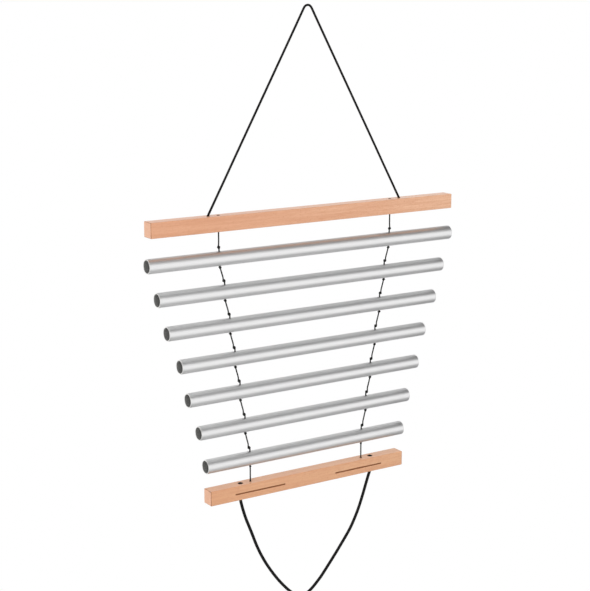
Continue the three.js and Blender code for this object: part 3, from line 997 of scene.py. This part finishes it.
def make_lamp(name, location, aim, size, power):
    """A soft square lamp that points at a place."""
    data = bpy.data.lights.new(name, "AREA")
    data.shape = "SQUARE"
    data.size = size
    data.energy = power
    lamp = bpy.data.objects.new(name, data)
    bpy.context.scene.collection.objects.link(lamp)
    lamp.location = location
    lamp.rotation_mode = "QUATERNION"
    lamp.rotation_quaternion = (aim - lamp.location).to_track_quat("-Z", "Y")
    lamp.visible_glossy = False


def make_camera(stage):
    """The camera at the photograph's place and angle."""
    data = bpy.data.cameras.new("camera")
    data.lens = stage.lens
    camera = bpy.data.objects.new("camera", data)
    bpy.context.scene.collection.objects.link(camera)
    camera.location = stage.place
    camera.rotation_euler = (math.pi / 2 - stage.dip, 0, -stage.turn)
    bpy.context.scene.camera = camera


# Operators


class CHIME_OT_stage(bpy.types.Operator):
    """Add the camera, the light and the floor"""

    bl_idname = "chime.stage"
    bl_label = "Stage"

    def execute(self, context):
        stage = context.scene.chime_stage
        context.scene.view_settings.view_transform = "Standard"
        middle = (cad_box[0] + cad_box[1]) / 2
        make_camera(stage)
        make_world(stage)
        make_floor()
        make_card("overhead_card", radius=12.0, middle_y=-0.7, height=2.2,
                  greys=(0.42, 0.16), edge=(2.35, 2.7), paling=(0.95, 1.5))
        make_card("floor_card", radius=29.0, middle_y=-0.16, height=cad_box[0].z - FLOOR_DROP + CARD_LIFT,
                  greys=(0.48, 0.35), edge=(0.27, 0.54), paling=(0.1, 0.5))
        make_lamp("key_lamp", location=(-2.2, -1.2, 0.6), aim=middle, size=1.4, power=stage.key)
        make_lamp("top_lamp", location=(-0.3, -1.3, 1.5), aim=middle, size=1.6, power=stage.top)
        return {"FINISHED"}


class CHIME_OT_hanging_cord(bpy.types.Operator):
    """Add the hanging cord and its stopper knots"""

    bl_idname = "chime.hanging_cord"
    bl_label = "Hanging Cord"

    def execute(self, context):
        yarn = braided_polyester("black_braid_upper", context.scene.chime_colours.black_cord, CORD_FIBRE)
        make_hanging_cord(context.scene.chime_sizes, yarn)
        return {"FINISHED"}


class CHIME_OT_pull_cord(bpy.types.Operator):
    """Add the pull cord and its stopper knots"""

    bl_idname = "chime.pull_cord"
    bl_label = "Pull Cord"

    def execute(self, context):
        yarn = braided_polyester("black_braid_lower", context.scene.chime_colours.black_cord, CORD_FIBRE)
        make_pull_cord(context.scene.chime_sizes, yarn)
        return {"FINISHED"}


class CHIME_OT_strings(bpy.types.Operator):
    """Add the two ladder strings with their knots"""

    bl_idname = "chime.strings"
    bl_label = "Ladder Strings"

    def execute(self, context):
        sizes = context.scene.chime_sizes
        yarn = braided_polyester("grey_braid", context.scene.chime_colours.grey_string, STRING_FIBRE)
        for name, side in SIDES.items():
            for k in range(1, TUBE_COUNT + 1):
                make_string(name, side, k, sizes, yarn)
            make_string_ends(name, side, sizes, yarn)
        return {"FINISHED"}


class CHIME_OT_tubes(bpy.types.Operator):
    """Add the seven tubes"""

    bl_idname = "chime.tubes"
    bl_label = "Tubes"

    def execute(self, context):
        colours = context.scene.chime_colours
        skin = anodised_aluminium(colours)
        sawn = sawn_aluminium(colours)
        bore = dull_bore(colours)
        for k in range(1, TUBE_COUNT + 1):
            make_tube(k, context.scene.chime_sizes, skin, sawn, bore)
        return {"FINISHED"}


class CHIME_OT_bars(bpy.types.Operator):
    """Add the two beech bars"""

    bl_idname = "chime.bars"
    bl_label = "Beech Bars"

    def execute(self, context):
        sizes = context.scene.chime_sizes
        colours = context.scene.chime_colours
        streak = colours.beech_streak
        upper = beech("steamed_beech_upper", colours.beech, colours.painted_light_beech, streak)
        lower = beech("steamed_beech_lower", colours.golden_beech, colours.painted_light_golden_beech, streak)
        ends = beech_end_grain(colours)
        scorch_and_pocket_shade = scorched_and_shaded_beech(colours)
        # The rounded edges round the sawn ends are painted a shade darker: painted shade, in the streak
        # colour with dark brown streaks
        edges = beech("beech_painted_edge_shade", streak, streak, colours.scorch_and_shade_brown)
        make_top_bar(sizes, upper, ends, scorch_and_pocket_shade, edges)
        make_bottom_bar(sizes, lower, ends, scorch_and_pocket_shade, edges)
        return {"FINISHED"}


class CHIME_PT_panel(bpy.types.Panel):
    """Lists the chime's pieces in the sidebar"""

    bl_idname = "CHIME_PT_panel"
    bl_label = "Bar Chime"
    bl_space_type = "VIEW_3D"
    bl_region_type = "UI"
    bl_category = "Bar Chime"

    def draw(self, context):
        for operator in OPERATORS:
            self.layout.operator(operator.bl_idname)
        for group in ("chime_sizes", "chime_colours", "chime_stage"):
            settings = getattr(context.scene, group)
            box = self.layout.box()
            for key in settings.__annotations__:
                box.prop(settings, key)


OPERATORS = [
    CHIME_OT_stage,
    CHIME_OT_hanging_cord,
    CHIME_OT_pull_cord,
    CHIME_OT_strings,
    CHIME_OT_tubes,
    CHIME_OT_bars,
]
CLASSES = [ChimeSizes, ChimeColours, ChimeStage, *OPERATORS, CHIME_PT_panel]


def register():
    """Registers the classes and their settings."""
    for made in CLASSES:
        bpy.utils.register_class(made)
    bpy.types.Scene.chime_sizes = PointerProperty(type=ChimeSizes)
    bpy.types.Scene.chime_colours = PointerProperty(type=ChimeColours)
    bpy.types.Scene.chime_stage = PointerProperty(type=ChimeStage)


def unregister():
    """Takes the classes and their settings away again."""
    del bpy.types.Scene.chime_stage
    del bpy.types.Scene.chime_colours
    del bpy.types.Scene.chime_sizes
    for made in reversed(CLASSES):
        bpy.utils.unregister_class(made)


def main():
    """Builds the chime and its stage."""
    register()
    bpy.ops.chime.stage()
    bpy.ops.chime.hanging_cord()
    bpy.ops.chime.pull_cord()
    bpy.ops.chime.strings()
    bpy.ops.chime.tubes()
    bpy.ops.chime.bars()


if __name__ == "__main__":
    main()
